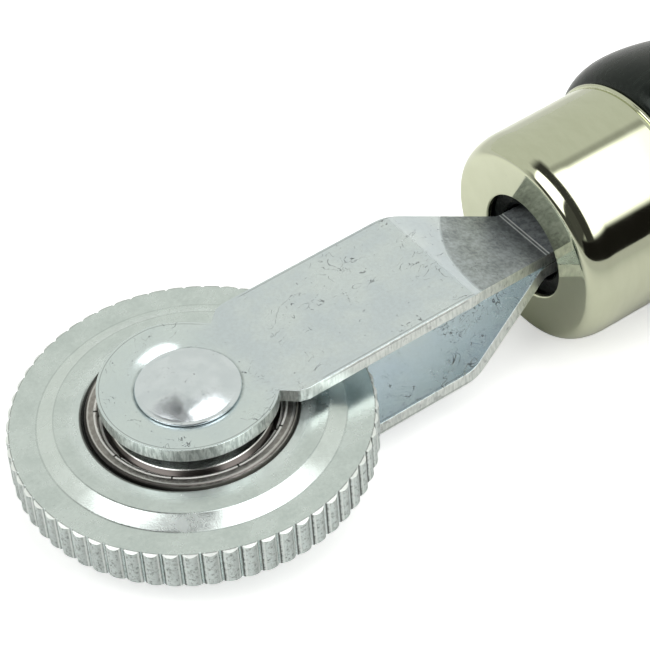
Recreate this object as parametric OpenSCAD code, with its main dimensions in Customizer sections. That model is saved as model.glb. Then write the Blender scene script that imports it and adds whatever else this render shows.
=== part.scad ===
// Tyre patch roller: a scalloped steel wheel on a shielded ball bearing, riveted between two
// pressed steel cheeks whose tangs sit in a turned wooden handle with a plated ferrule.
//
// Frame: the origin is the wheel's centre. +Z is the axle, +X runs along the handle.

/* [Wheel] */
// Diameter over the crests of the scallops
wheel_d = 38.4; // [37:0.1:40]
// Number of scallops round the rim
scallops = 60; // [56:1:64]
// Thickness of the rim
rim_t = 4.6; // [4:0.1:5]
// Thickness of the raised hub
hub_t = 6.3; // [6:0.1:6.6]
// Diameter of the flat face of the hub
hub_d = 28.4; // [27:0.1:29]
// Width of the bevel from hub to rim
bevel_w = 1.8; // [1:0.1:2]

/* [Bearing] */
// Outside diameter of the bearing
bearing_od = 22; // [21.8:0.1:22.2]
// Width of the bearing
bearing_w = 7; // [6.9:0.1:7.2]
// Bore of the bearing
bearing_bore = 8; // [7.8:0.1:8.2]
// Nominal ball diameter
ball_d = 3.969; // [3.95:0.001:3.98]
// Diameter of the circle through the ball centres
pitch_d = 15; // [14.9:0.1:15.1]

/* [Axle] */
// Diameter of the rivet's shank
rivet_d = 6; // [5.5:0.1:6.2]
// Diameter of the rivet's domed head
rivet_head_d = 11; // [10:0.1:11.4]
// Thickness of the washer between the bearing and each cheek
washer_t = 1.1; // [1:0.1:1.6]

/* [Fork] */
// Thickness of the cheeks' steel sheet
sheet_t = 1.6; // [1.5:0.1:1.8]
// Diameter of the round boss at the axle
boss_d = 18.7; // [18:0.1:19]
// How far the boss's rim stands above the rivet's seat
dish_h = 0.75; // [0.5:0.05:0.9]
// Width of the arms
arm_w = 15.7; // [15:0.1:16.5]
// Distance from the axle to the corners where the arms start to narrow
arm_l = 30.8; // [29:0.1:32]
// Width of the tangs
tang_w = 8.2; // [7.6:0.1:8.6]
// Length of the tangs inside the handle
tang_l = 42; // [36:1:46]

/* [Ferrule] */
// Distance from the axle to the ferrule's front face
ferrule_x = 43.3; // [43:0.1:45]
// Outside diameter of the ferrule
ferrule_d = 24.6; // [24:0.1:25.4]
// Length of the ferrule
ferrule_l = 15.4; // [14:0.1:17]
// Diameter of the hole that the tangs pass through
ferrule_hole_d = 12.3; // [11.5:0.1:13]
// How far the ferrule's rounded front edge comes in from its side
ferrule_edge_r = 1.65; // [1.4:0.05:2]
// How far back the rounded front edge runs
ferrule_edge_l = 3.6; // [2.5:0.1:4]

/* [Handle] */
// Length of the handle behind the ferrule
handle_l = 92; // [85:1:105]
// Diameter of the bead next to the ferrule
bead_d = 28.2; // [27:0.1:29]
// Diameter of the waist behind the bead
waist_d = 23; // [21:0.5:24]
// Largest diameter of the palm swell
swell_d = 31; // [29:0.5:33]
// Diameter of the flat on the butt
butt_d = 14; // [12:0.5:16]

/* [Hidden] */
$fn = 96;
eps = 0.01;
cut_margin = 1;

// Colours
zinc = [0.78, 0.81, 0.81];
nickel = [0.80, 0.79, 0.70];
bearing_steel = [0.55, 0.53, 0.51];
black_lacquer = [0.07, 0.08, 0.07];

// Wheel
scallop_pitch = 360 / scallops;
scallop_phase = 1.8;
scallop_r = 1.15;
scallop_centre_r = wheel_d / 2 - scallop_r;
scallop_root_r = scallop_centre_r + scallop_r / 3;
rim_chamfer = 0.35;
seat_chamfer = 0.25;
bearing_r = bearing_od / 2;

// Bearing
balls = 7;
ball_pitch_angle = 360 / balls;
pitch_r = pitch_d / 2;
groove_r = ball_d / 2 + 0.02;
ball_r = ball_d / 2 - 0.015;
ring_half_w = bearing_w / 2;
inner_shoulder_r = 6.05;
outer_land_r = 8.8;
outer_land_half_w = 2.35;
recess_r = 9.6;
recess_groove_r = 9.8;
recess_groove_w = 0.4;
ring_chamfer = 0.4;
cage_in_r = 6.5;
cage_out_r = 8.4;
cage_sheet_t = 0.32;
pocket_r = ball_r + 0.06;
cage_rivet_r = 0.3;
cage_rivet_head_r = 0.55;
cage_rivet_head_h = 0.22;

// Shield
shield_t = 0.3;
shield_top_z = ring_half_w - 0.25;
shield_bore_r = 6.35;
shield_lip_r = 9.35;
shield_step_top_r = 8.35;
shield_step_foot_r = 8.95;
shield_step_t = 0.13;
shield_gap = 0.05;
shield_crimps = 9;
crimp_phase = 25.2;
crimp_w = 0.4;
crimp_depth = 0.06;

// Axle
bush_gap = 0.02;
cheek_in_z = ring_half_w + washer_t;
cheek_out_z = cheek_in_z + sheet_t;
rivet_r = rivet_d / 2;
rivet_hole_r = rivet_r + 0.05;
head_edge_t = 0.3;
head_dome_h = 1.15;
tail_d = rivet_head_d - 0.6;
tail_dome_h = 0.8;
washer_r = 5.9;

// Cheek
boss_r = boss_d / 2;
dish_start_r = rivet_head_d / 2 + 0.05;
dish_steps = 8;
neck_half_w = 6.2;
neck_l = 1.7;
bend_r = 5;
tang_x = ferrule_x - 0.2;
tang_end_x = ferrule_x + tang_l;
tang_gap = 0.04;
barb_pitch = 6;
barb_depth = 0.8;
barbs = 4;
barb_ramp = 0.8;
barb_end_gap = 4;
tang_tip_l = 3;
tang_tip_step = 2;

// Ferrule
ferrule_r = ferrule_d / 2;
ferrule_t = 0.9;
lip_r = 0.32;
lip_root_l = 0.3;
lip_inset = 0.05;

// Handle
handle_x = ferrule_x + ferrule_l;
handle_end_x = handle_x + handle_l;
neck_r = ferrule_r - ferrule_t;
socket_r = 3.9;
slot_clearance = 0.06;
bead_edge_r = 4.2;
bead_foot_drop = 0.2;
bead_steps = 8;
waist_share = 0.22;
swell_share = 0.68;
waist_x = handle_x + waist_share * handle_l;
swell_x = handle_x + swell_share * handle_l;
profile_steps = 14;
front_gap = 0.1;
socket_end_gap = 0.5;

// Points on an arc of radius r about [cx, cy], from angle a to angle b.
function arc(cx, cy, r, a, b, n = 10) =
    [for (i = [0:n]) let (t = a + (b - a) * i / n) [cx + r * cos(t), cy + r * sin(t)]];

// Points on an ellipse about [cx, cy] with half axes rx and ry, from angle a to angle b.
function oval_arc(cx, cy, rx, ry, a, b, n = 10) =
    [for (i = [0:n]) let (t = a + (b - a) * i / n) [cx + rx * cos(t), cy + ry * sin(t)]];

// A smooth step in radius from [x0, r0] to [x1, r1], level at both ends.
function swell(x0, r0, x1, r1, n = profile_steps) =
    [for (i = [1:n]) let (t = i / n) [x0 + (x1 - x0) * t, r0 + (r1 - r0) * (1 - cos(180 * t)) / 2]];

// Turns a profile of [x, radius] points about the X axis.
module turn_about_x(points) {
    rotate([0, 90, 0])
        rotate_extrude()
            polygon([for (p = points) [p[1], p[0]]]);
}

// A tube about the axle, from z0 to z1.
module tube(outer_r, inner_r, z0, z1) {
    translate([0, 0, z0])
        difference() {
            cylinder(r = outer_r, h = z1 - z0);
            translate([0, 0, -eps])
                cylinder(r = inner_r, h = z1 - z0 + 2 * eps);
        }
}

// Wheel ------------------------------------------------------------------------------------

// The rim's outline: a ring of convex scallops that meet in sharp valleys.
module scalloped_outline() {
    circle(r = scallop_root_r);
    for (i = [0:scallops - 1])
        rotate(scallop_phase + i * scallop_pitch)
            translate([scallop_centre_r, 0])
                circle(r = scallop_r);
}

// A disc larger than the rim, whose cones chamfer the ends of the scallops.
module rim_blank() {
    blank_r = wheel_d / 2 + cut_margin;
    cone_h = rim_chamfer + cut_margin;
    rotate_extrude()
        polygon([
            [0, -rim_t / 2], [blank_r - cone_h, -rim_t / 2], [blank_r, -rim_t / 2 + cone_h],
            [blank_r, rim_t / 2 - cone_h], [blank_r - cone_h, rim_t / 2], [0, rim_t / 2]
        ]);
}

// The raised hub on both faces, with the bevel that runs down to the rim.
module hub() {
    hub_r = hub_d / 2;
    rotate_extrude()
        polygon([
            [0, -hub_t / 2], [hub_r, -hub_t / 2], [hub_r + bevel_w, -rim_t / 2],
            [hub_r + bevel_w, rim_t / 2], [hub_r, hub_t / 2], [0, hub_t / 2]
        ]);
}

// The bearing seat, chamfered at both mouths.
module bearing_seat() {
    cut_h = hub_t / 2 + cut_margin;
    mouth_r = bearing_r + seat_chamfer;
    rotate_extrude()
        polygon([
            [0, -cut_h], [mouth_r, -cut_h], [mouth_r, -hub_t / 2],
            [bearing_r, -hub_t / 2 + seat_chamfer], [bearing_r, hub_t / 2 - seat_chamfer],
            [mouth_r, hub_t / 2], [mouth_r, cut_h], [0, cut_h]
        ]);
}

module roller_wheel() {
    color(zinc)
        difference() {
            union() {
                intersection() {
                    linear_extrude(rim_t + 2 * cut_margin, center = true)
                        scalloped_outline();
                    rim_blank();
                }
                hub();
            }
            bearing_seat();
        }
}

// Bearing ----------------------------------------------------------------------------------

// The groove that the balls run in, shared by both rings.
module ball_track() {
    rotate_extrude()
        translate([pitch_r, 0])
            circle(r = groove_r);
}

module bearing_outer_ring() {
    w = ring_half_w;
    c = ring_chamfer;
    seat_z = outer_land_half_w + recess_groove_w;
    color(bearing_steel)
        difference() {
            rotate_extrude()
                polygon([
                    [outer_land_r, -outer_land_half_w], [recess_groove_r, -outer_land_half_w],
                    [recess_groove_r, -seat_z], [recess_r, -seat_z], [recess_r, -w],
                    [bearing_r - c, -w], [bearing_r, -w + c],
                    [bearing_r, w - c], [bearing_r - c, w],
                    [recess_r, w], [recess_r, seat_z], [recess_groove_r, seat_z],
                    [recess_groove_r, outer_land_half_w], [outer_land_r, outer_land_half_w]
                ]);
            ball_track();
        }
}

module bearing_inner_ring() {
    w = ring_half_w;
    c = ring_chamfer;
    bore_r = bearing_bore / 2;
    color(bearing_steel)
        difference() {
            rotate_extrude()
                polygon([
                    [bore_r, -w + c], [bore_r + c, -w], [inner_shoulder_r - c / 2, -w],
                    [inner_shoulder_r, -w + c / 2], [inner_shoulder_r, w - c / 2],
                    [inner_shoulder_r - c / 2, w], [bore_r + c, w], [bore_r, w - c]
                ]);
            ball_track();
        }
}

// Ball number i, counted from 1.
module bearing_ball(i) {
    color("silver")
        rotate((i - 1) * ball_pitch_angle)
            translate([pitch_r, 0, 0])
                sphere(r = ball_r);
}

// One half of the pressed ribbon cage: a flat ribbon between the balls, cupped over each ball.
module cage_half() {
    cup_r = pocket_r + cage_sheet_t;
    difference() {
        intersection() {
            union() {
                tube(cage_out_r, cage_in_r, 0, cage_sheet_t);
                for (i = [0:balls - 1])
                    rotate(i * ball_pitch_angle)
                        translate([pitch_r, 0, 0])
                            sphere(r = cup_r);
            }
            tube(cage_out_r, cage_in_r, 0, cup_r + cut_margin);
        }
        for (i = [0:balls - 1])
            rotate(i * ball_pitch_angle) {
                translate([pitch_r, 0, 0])
                    sphere(r = pocket_r);
                rotate(ball_pitch_angle / 2)
                    translate([pitch_r, 0, 0])
                        cylinder(r = cage_rivet_r, h = 2 * cut_margin, center = true);
            }
    }
}

module cage_upper_half() {
    color(bearing_steel)
        cage_half();
}

module cage_lower_half() {
    color(bearing_steel)
        mirror([0, 0, 1])
            cage_half();
}

// The small rivets that close the two halves of the cage.
module cage_rivets() {
    color("silver")
        for (i = [0:balls - 1])
            rotate((i + 0.5) * ball_pitch_angle)
                translate([pitch_r, 0, 0]) {
                    cylinder(r = cage_rivet_r, h = 2 * cage_sheet_t + eps, center = true);
                    for (side = [-1, 1])
                        translate([0, 0, side * (cage_sheet_t + cage_rivet_head_h / 2)])
                            cylinder(r = cage_rivet_head_r, h = cage_rivet_head_h, center = true);
                }
}

// The upper shield: a flat ring, a conical step down, and a crimped lip in the ring's recess.
module shield() {
    top = shield_top_z;
    floor_z = outer_land_half_w + shield_gap;
    foot_r = recess_groove_r - shield_gap;
    rim_z = floor_z + shield_t;
    lip_z = rim_z + shield_t;
    lip_in = shield_lip_r - shield_t / 2;
    lip_out = shield_lip_r + shield_t / 2;
    difference() {
        rotate_extrude()
            polygon([
                [shield_bore_r, top - shield_t], [shield_step_top_r, top - shield_t],
                [shield_step_foot_r, floor_z], [foot_r, floor_z], [foot_r, rim_z],
                [lip_out, rim_z], [lip_out, lip_z], [lip_in, lip_z], [lip_in, rim_z],
                [shield_step_foot_r + shield_step_t, rim_z],
                [shield_step_top_r + shield_step_t, top], [shield_bore_r, top]
            ]);
        for (i = [0:shield_crimps - 1])
            rotate(crimp_phase + i * 360 / shield_crimps)
                translate([lip_in - shield_gap, -crimp_w / 2, rim_z - crimp_depth])
                    cube([shield_t + 2 * shield_gap, crimp_w, cut_margin]);
    }
}

module shield_upper() {
    color(bearing_steel)
        shield();
}

module shield_lower() {
    color(bearing_steel)
        mirror([0, 0, 1])
            shield();
}

// Axle -------------------------------------------------------------------------------------

module axle_bush() {
    color("silver")
        tube(bearing_bore / 2 - bush_gap, rivet_hole_r, -ring_half_w, ring_half_w);
}

// A low dome of radius r and height h, standing on z = 0.
module dome(r, h) {
    ball = (r * r + h * h) / (2 * h);
    intersection() {
        translate([0, 0, h - ball])
            sphere(r = ball);
        cylinder(r = r + cut_margin, h = h + cut_margin);
    }
}

// A rivet head of diameter d that sits on z = 0: a short edge under a low dome.
module rivet_head(d, dome_h) {
    cylinder(d = d, h = head_edge_t);
    translate([0, 0, head_edge_t])
        dome(d / 2, dome_h);
}

module axle_rivet() {
    color(zinc) {
        cylinder(r = rivet_r, h = 2 * cheek_out_z + 2 * eps, center = true);
        translate([0, 0, cheek_out_z])
            rivet_head(rivet_head_d, head_dome_h);
        mirror([0, 0, 1])
            translate([0, 0, cheek_out_z])
                rivet_head(tail_d, tail_dome_h);
    }
}

module spacer_washer_upper() {
    color("silver")
        tube(washer_r, rivet_hole_r, ring_half_w, cheek_in_z);
}

module spacer_washer_lower() {
    color("silver")
        tube(washer_r, rivet_hole_r, -cheek_in_z, -ring_half_w);
}

// Fork -------------------------------------------------------------------------------------

// Height of the dish above the rivet's seat: steep by the rivet, level at the rim.
function dish_rise(u) = dish_h * (2 * u - u * u);

// The dished boss as a full turn: flat under the rivet head, its rim rising away from the wheel.
module full_dish() {
    ring = [for (i = [0:dish_steps]) let (u = i / dish_steps)
        [dish_start_r + (boss_r - dish_start_r) * u, dish_rise(u)]];
    upper = [for (p = ring) [p[0], cheek_out_z + p[1]]];
    lower = [for (i = [dish_steps:-1:0]) [ring[i][0], cheek_in_z + ring[i][1]]];
    rotate_extrude()
        polygon(concat([[0, cheek_in_z], [0, cheek_out_z]], upper, lower));
}

// The boss, its rim highest at the free end and fading to the arm's level where they join.
module cheek_boss() {
    side_x = boss_r + cut_margin;
    intersection() {
        full_dish();
        rotate([90, 0, 0])
            linear_extrude(2 * boss_d, center = true)
                polygon([
                    [-side_x, 0], [side_x, 0], [side_x, cheek_out_z], [boss_r, cheek_out_z],
                    [-boss_r, cheek_out_z + dish_h], [-side_x, cheek_out_z + dish_h]
                ]);
    }
}

// The cheek's outline from above, from the boss to the end of the barbed tang.
module cheek_plan() {
    neck_x = sqrt(boss_r * boss_r - neck_half_w * neck_half_w);
    barb_x = tang_end_x - barb_end_gap - barbs * barb_pitch;
    half = concat(
        [[0, neck_half_w], [neck_x, neck_half_w], [neck_x + neck_l, arm_w / 2], [arm_l, arm_w / 2],
         [tang_x, tang_w / 2]],
        [for (i = [0:barbs - 1]) each [
            [barb_x + i * barb_pitch, tang_w / 2],
            [barb_x + i * barb_pitch, tang_w / 2 - barb_depth],
            [barb_x + (i + barb_ramp) * barb_pitch, tang_w / 2]
        ]],
        [[tang_end_x - tang_tip_l, tang_w / 2], [tang_end_x, tang_w / 2 - tang_tip_step]]
    );
    mirrored = [for (i = [len(half) - 1:-1:0]) [half[i][0], -half[i][1]]];
    polygon(concat(half, mirrored));
}

// The cheek's side view: a level arm, a slope down to the middle, and the tang, all one sheet.
module cheek_side() {
    drop = cheek_out_z - sheet_t - tang_gap;
    slope = atan(drop / (tang_x - arm_l));
    setback = bend_r * tan(slope / 2);
    tang_out_z = sheet_t + tang_gap;
    outer = concat(
        [[0, cheek_out_z]],
        arc(arm_l + setback / 2, cheek_out_z - bend_r, bend_r, 90, 90 - slope, 4),
        [[tang_x, tang_out_z], [tang_end_x, tang_out_z]]
    );
    inner = concat(
        [[tang_end_x, tang_gap], [tang_x - sheet_t * tan(slope / 2), tang_gap]],
        arc(arm_l + setback / 2, cheek_out_z - bend_r, bend_r - sheet_t, 90 - slope, 90, 4),
        [[0, cheek_in_z]]
    );
    polygon(concat(outer, inner));
}

module fork_cheek() {
    difference() {
        union() {
            cheek_boss();
            intersection() {
                linear_extrude(2 * cheek_out_z, center = true)
                    cheek_plan();
                rotate([90, 0, 0])
                    linear_extrude(2 * arm_w, center = true)
                        cheek_side();
            }
        }
        cylinder(r = rivet_hole_r, h = 4 * cheek_out_z, center = true);
    }
}

module fork_cheek_upper() {
    color(zinc)
        fork_cheek();
}

module fork_cheek_lower() {
    color(zinc)
        mirror([0, 0, 1])
            fork_cheek();
}

// Handle -----------------------------------------------------------------------------------

// A drawn cup with a round hole in its front and a small rolled lip at its back.
module ferrule() {
    r = ferrule_r;
    e = ferrule_edge_r;
    l = ferrule_edge_l;
    x0 = ferrule_x;
    x1 = handle_x;
    t = ferrule_t;
    color(nickel)
        turn_about_x(concat(
            [[x0, ferrule_hole_d / 2]],
            oval_arc(x0 + l, r - e, l, e, 180, 90, 12),
            [[x1 - 2 * lip_r - lip_root_l, r]],
            arc(x1 - lip_r, r - lip_inset, lip_r, 180, 0, 8),
            [[x1, r - t], [x0 + l, r - t]],
            oval_arc(x0 + l, r - e, l - t, e - t, 90, 180, 12),
            [[x0 + t, ferrule_hole_d / 2]]
        ));
}

// The turned outline of the handle, from the neck inside the ferrule to the butt.
function handle_profile() =
    let (
        front_x = ferrule_x + ferrule_t + front_gap,
        foot_r = ferrule_r - bead_foot_drop,
        neck_edge_l = ferrule_edge_l - ferrule_t - front_gap,
        neck_edge_r = ferrule_edge_r - ferrule_t,
        bead_r = bead_d / 2,
        bead_x = handle_x + bead_edge_r,
        butt_l = handle_end_x - swell_x,
        butt_r = butt_d / 2
    )
    concat(
        [[front_x, 0]],
        oval_arc(front_x + neck_edge_l, neck_r - neck_edge_r, neck_edge_l, neck_edge_r, 180, 90, 8),
        [[handle_x, neck_r]],
        [for (i = [0:bead_steps]) let (a = 90 * i / bead_steps)
            [bead_x - bead_edge_r * cos(a), foot_r + (bead_r - foot_r) * sin(a)]],
        swell(bead_x, bead_r, waist_x, waist_d / 2),
        swell(waist_x, waist_d / 2, swell_x, swell_d / 2),
        [for (i = [1:profile_steps]) let (a = 90 * i / profile_steps)
            [swell_x + butt_l * sin(a), butt_r + (swell_d / 2 - butt_r) * cos(a)]],
        [[handle_end_x, 0]]
    );

// The drilled socket, opened out to the section of the two tangs.
module tang_socket() {
    slot_w = tang_w + 2 * slot_clearance;
    slot_h = 2 * (sheet_t + tang_gap + slot_clearance);
    depth = tang_l + socket_end_gap;
    translate([ferrule_x, 0, 0]) {
        rotate([0, 90, 0])
            cylinder(r = socket_r, h = depth);
        translate([0, -slot_w / 2, -slot_h / 2])
            cube([depth, slot_w, slot_h]);
    }
}

module handle() {
    color(black_lacquer)
        difference() {
            turn_about_x(handle_profile());
            tang_socket();
        }
}

roller_wheel();
bearing_outer_ring();
bearing_inner_ring();
for (i = [1:balls])
    bearing_ball(i);
cage_upper_half();
cage_lower_half();
cage_rivets();
shield_upper();
shield_lower();
axle_bush();
axle_rivet();
spacer_washer_upper();
spacer_washer_lower();
fork_cheek_upper();
fork_cheek_lower();
ferrule();
handle();
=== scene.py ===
"""Looks for the tyre patch roller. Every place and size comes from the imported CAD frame."""
import math

import bmesh
import bpy
from mathutils import Matrix, Vector


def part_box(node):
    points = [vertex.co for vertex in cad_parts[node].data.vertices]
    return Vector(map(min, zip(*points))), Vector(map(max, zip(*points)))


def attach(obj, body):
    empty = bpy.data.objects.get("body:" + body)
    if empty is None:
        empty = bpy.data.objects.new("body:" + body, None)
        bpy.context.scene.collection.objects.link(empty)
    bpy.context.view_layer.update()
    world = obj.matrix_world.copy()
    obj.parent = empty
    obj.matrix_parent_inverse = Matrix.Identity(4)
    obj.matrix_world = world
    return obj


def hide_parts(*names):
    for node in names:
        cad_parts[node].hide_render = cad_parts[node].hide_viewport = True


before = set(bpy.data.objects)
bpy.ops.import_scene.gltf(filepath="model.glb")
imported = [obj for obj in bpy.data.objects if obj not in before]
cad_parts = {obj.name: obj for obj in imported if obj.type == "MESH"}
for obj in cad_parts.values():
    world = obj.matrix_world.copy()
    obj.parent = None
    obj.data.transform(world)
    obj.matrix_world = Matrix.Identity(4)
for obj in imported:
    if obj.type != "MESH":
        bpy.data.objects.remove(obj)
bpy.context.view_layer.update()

MM = 0.001
TURN = 2 * math.pi


# Sizes read from the CAD frame, in metres ------------------------------------------------

def half_size(node):
    """Half of a CAD node's length along X, Y and Z."""
    low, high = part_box(node)
    return (Vector(high) - Vector(low)) / 2


WHEEL_R = half_size("roller_wheel").x
HUB_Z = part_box("roller_wheel")[1][2]
BEARING_R = half_size("bearing_outer_ring").x
BEARING_Z = half_size("bearing_outer_ring").z
INNER_RING_R = half_size("bearing_inner_ring").x
SHIELD_R = half_size("shield_upper").x
SHIELD_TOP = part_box("shield_upper")[1][2]
SHIELD_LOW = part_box("shield_upper")[0][2]
BUSH_R = half_size("axle_bush").x
WASHER_R = half_size("spacer_washer_upper").x
CHEEK_IN_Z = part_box("spacer_washer_upper")[1][2]
CHEEK_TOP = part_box("fork_cheek_upper")[1][2]
BOSS_R = -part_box("fork_cheek_upper")[0][0]
TANG_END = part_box("fork_cheek_upper")[1][0]
RIVET_R = half_size("axle_rivet").x
RIVET_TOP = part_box("axle_rivet")[1][2]
RIVET_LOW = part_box("axle_rivet")[0][2]
FERRULE_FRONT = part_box("ferrule")[0][0]
FERRULE_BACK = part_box("ferrule")[1][0]
HANDLE_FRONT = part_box("handle")[0][0]
HANDLE_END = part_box("handle")[1][0]
SWELL_R = half_size("handle").y


# Mesh building ---------------------------------------------------------------------------

def fillet(corners, steps=5):
    """A closed outline with its corners rounded. Each corner is (a, b, radius)."""
    points = []
    count = len(corners)
    for i, (a, b, radius) in enumerate(corners):
        here = Vector((a, b))
        if radius <= 0:
            points.append(here)
            continue
        before = Vector(corners[i - 1][:2]) - here
        after = Vector(corners[(i + 1) % count][:2]) - here
        half = before.angle(after) / 2
        reach = min(radius / math.tan(half), 0.49 * before.length, 0.49 * after.length)
        start = here + before.normalized() * reach
        end = here + after.normalized() * reach
        for k in range(steps + 1):
            t = k / steps
            points.append((1 - t) ** 2 * start + 2 * t * (1 - t) * here + t * t * end)
    return points


def shaded_piece(name, mesh, sharp_degrees):
    """A smooth-shaded object whose edges above an angle stay sharp."""
    mesh.shade_smooth()
    mesh.set_sharp_from_angle(angle=math.radians(sharp_degrees))
    piece = bpy.data.objects.new(name, mesh)
    bpy.context.scene.collection.objects.link(piece)
    return piece


def new_piece(name, bm, sharp_degrees=35):
    """Turns a bmesh into an object."""
    bmesh.ops.recalc_face_normals(bm, faces=bm.faces)
    mesh = bpy.data.meshes.new(name)
    bm.to_mesh(mesh)
    bm.free()
    return shaded_piece(name, mesh, sharp_degrees)


def lathe(name, outline, axis="Z", steps=192, shape=None, sharp_degrees=35):
    """Turns a closed outline of (radius, height) about an axis.

    shape(radius, height, angle), if given, returns the point's own radius and height.
    """
    bm = bmesh.new()
    rings = []
    for radius, height in outline:
        ring = []
        for k in range(steps if radius > 1e-7 else 1):
            angle = TURN * k / steps
            r, h = shape(radius, height, angle) if shape else (radius, height)
            x, y = r * math.cos(angle), r * math.sin(angle)
            ring.append(bm.verts.new((x, y, h) if axis == "Z" else (h, x, y)))
        rings.append(ring)
    for i, ring in enumerate(rings):
        other = rings[(i + 1) % len(rings)]
        if len(ring) == 1 and len(other) == 1:
            continue
        for k in range(steps):
            n = (k + 1) % steps
            corners = [
                ring[k % len(ring)], ring[n % len(ring)],
                other[n % len(other)], other[k % len(other)],
            ]
            bm.faces.new(list(dict.fromkeys(corners)))
    return new_piece(name, bm, sharp_degrees)


def mirrored(name, source):
    """A copy of a piece, mirrored across Z = 0."""
    bm = bmesh.new()
    bm.from_mesh(source.data)
    bmesh.ops.transform(bm, matrix=Matrix.Scale(-1, 4, (0, 0, 1)), verts=bm.verts)
    bmesh.ops.reverse_faces(bm, faces=bm.faces)
    return new_piece(name, bm)


def weighted_normals(piece):
    """Keeps wide faces flat in shading next to narrow rounded edges."""
    modifier = piece.modifiers.new("normals", "WEIGHTED_NORMAL")
    modifier.keep_sharp = True
    modifier.weight = 80


def applied(name, source, sharp_degrees):
    """A new object with the source's modifiers applied; the source is removed."""
    graph = bpy.context.evaluated_depsgraph_get()
    mesh = bpy.data.meshes.new_from_object(source.evaluated_get(graph), depsgraph=graph)
    bpy.data.objects.remove(source)
    mesh.name = name
    return shaded_piece(name, mesh, sharp_degrees)


def finish_piece(piece, materials, body, node):
    """Gives a piece its materials, its CAD body and the CAD node that it stands for."""
    for material in materials:
        piece.data.materials.append(material)
    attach(piece, body)
    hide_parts(node)
    return piece


# Node graphs -----------------------------------------------------------------------------

class Graph:
    """Short calls for building a shader node graph."""

    def __init__(self, tree):
        self.tree = tree
        tree.nodes.clear()

    def node(self, kind, inputs=None, **settings):
        made = self.tree.nodes.new(kind)
        for key, value in settings.items():
            setattr(made, key, value)
        for key, value in (inputs or {}).items():
            self.feed(made.inputs[key], value)
        return made

    def feed(self, socket, value):
        if isinstance(value, bpy.types.NodeSocket):
            self.tree.links.new(value, socket)
        else:
            socket.default_value = value

    def math(self, operation, a, b=0.0):
        return self.node("ShaderNodeMath", {0: a, 1: b}, operation=operation).outputs[0]

    def times(self, product, *others):
        for other in others:
            product = self.math("MULTIPLY", product, other)
        return product

    def most(self, a, b):
        """The larger of two values."""
        return self.math("MAXIMUM", a, b)

    def inverse(self, value):
        """1 less the value."""
        return self.math("SUBTRACT", 1.0, value)

    def xyz(self, vector):
        """A vector's three components."""
        return self.node("ShaderNodeSeparateXYZ", {0: vector}).outputs

    def scaled(self, vector, scale):
        return self.node("ShaderNodeMapping", {"Vector": vector, "Scale": scale}).outputs[0]

    def step(self, value, low, high, to_low=0.0, to_high=1.0):
        """A smooth step from to_low at low to to_high at high."""
        made = self.node(
            "ShaderNodeMapRange",
            {"Value": value, "From Min": low, "From Max": high, "To Min": to_low, "To Max": to_high},
            interpolation_type="SMOOTHSTEP",
        )
        return made.outputs["Result"]

    def between(self, value, low, high, soft):
        """1 between low and high, falling to 0 over soft at each side."""
        up = self.step(value, low - soft, low)
        down = self.step(value, high, high + soft, 1.0, 0.0)
        return self.times(up, down)

    def mix(self, factor, a, b):
        made = self.node("ShaderNodeMix", data_type="RGBA")
        self.feed(made.inputs["Factor"], factor)
        self.feed(made.inputs[6], a)
        self.feed(made.inputs[7], b)
        return made.outputs[2]

    def noise(self, vector, size, detail=4.0, roughness=0.5, distortion=0.0):
        """Noise whose features are about size metres across."""
        made = self.node(
            "ShaderNodeTexNoise",
            {"Vector": vector, "Scale": 1 / size, "Detail": detail, "Roughness": roughness,
             "Distortion": distortion},
        )
        return made.outputs["Fac"]

    def bump(self, height, distance, strength, normal=None):
        inputs = {"Height": height, "Distance": distance, "Strength": strength}
        if normal is not None:
            inputs["Normal"] = normal
        return self.node("ShaderNodeBump", inputs).outputs["Normal"]

    def surface(self, shader, base, metallic, rough, normal):
        """Feeds the inputs that every material sets."""
        self.feed(shader.inputs["Base Color"], base)
        self.feed(shader.inputs["Metallic"], metallic)
        self.feed(shader.inputs["Roughness"], rough)
        self.feed(shader.inputs["Normal"], normal)


def grey(value):
    return rgb(value, value, value)


def rgb(r, g, b):
    return (r, g, b, 1.0)


def new_material(name):
    material = bpy.data.materials.new(name)
    material.use_nodes = True
    graph = Graph(material.node_tree)
    shader = graph.node("ShaderNodeBsdfPrincipled")
    output = graph.node("ShaderNodeOutputMaterial")
    graph.tree.links.new(shader.outputs[0], output.inputs[0])
    place = graph.node("ShaderNodeTexCoord").outputs["Object"]
    return material, graph, shader, place


def radius_of(graph, a, b):
    squares = [graph.math("POWER", value, 2.0) for value in (a, b)]
    return graph.math("SQRT", graph.math("ADD", *squares))


def axle_distance(graph, place):
    """Distance from the wheel's axis."""
    x, y, _ = graph.xyz(place)
    return radius_of(graph, x, y)


def sector_place(graph, place, count, phase):
    """Place within one of count equal sectors about the axle, from -0.5 to 0.5."""
    parts = graph.xyz(place)
    turn = graph.math("ARCTAN2", parts[1], parts[0])
    share = graph.times(graph.math("SUBTRACT", turn, phase), count / TURN)
    return graph.math("SUBTRACT", share, graph.math("ROUND", share))


def ring_noise(graph, distance, size):
    """Noise that changes only with distance from an axis, like turning marks."""
    inputs = {"W": distance, "Scale": 1 / size, "Detail": 3.0}
    return graph.node("ShaderNodeTexNoise", inputs, noise_dimensions="1D").outputs["Fac"]


# Materials -------------------------------------------------------------------------------

def scribbles(g, place, spacing, width):
    """Short curled scratches in scattered clusters."""
    curled = g.noise(place, spacing, 2, 0.5, 1.5)
    hairlines = g.between(curled, 0.5 - width / 2, 0.5 + width / 2, 0.008)
    clusters = g.step(g.noise(place, 1.6 * spacing, 2, 0.5), 0.54, 0.62)
    breaks = g.step(g.noise(place, 0.3 * spacing, 2, 0.6), 0.46, 0.54)
    return g.times(hairlines, clusters, breaks)


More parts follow.
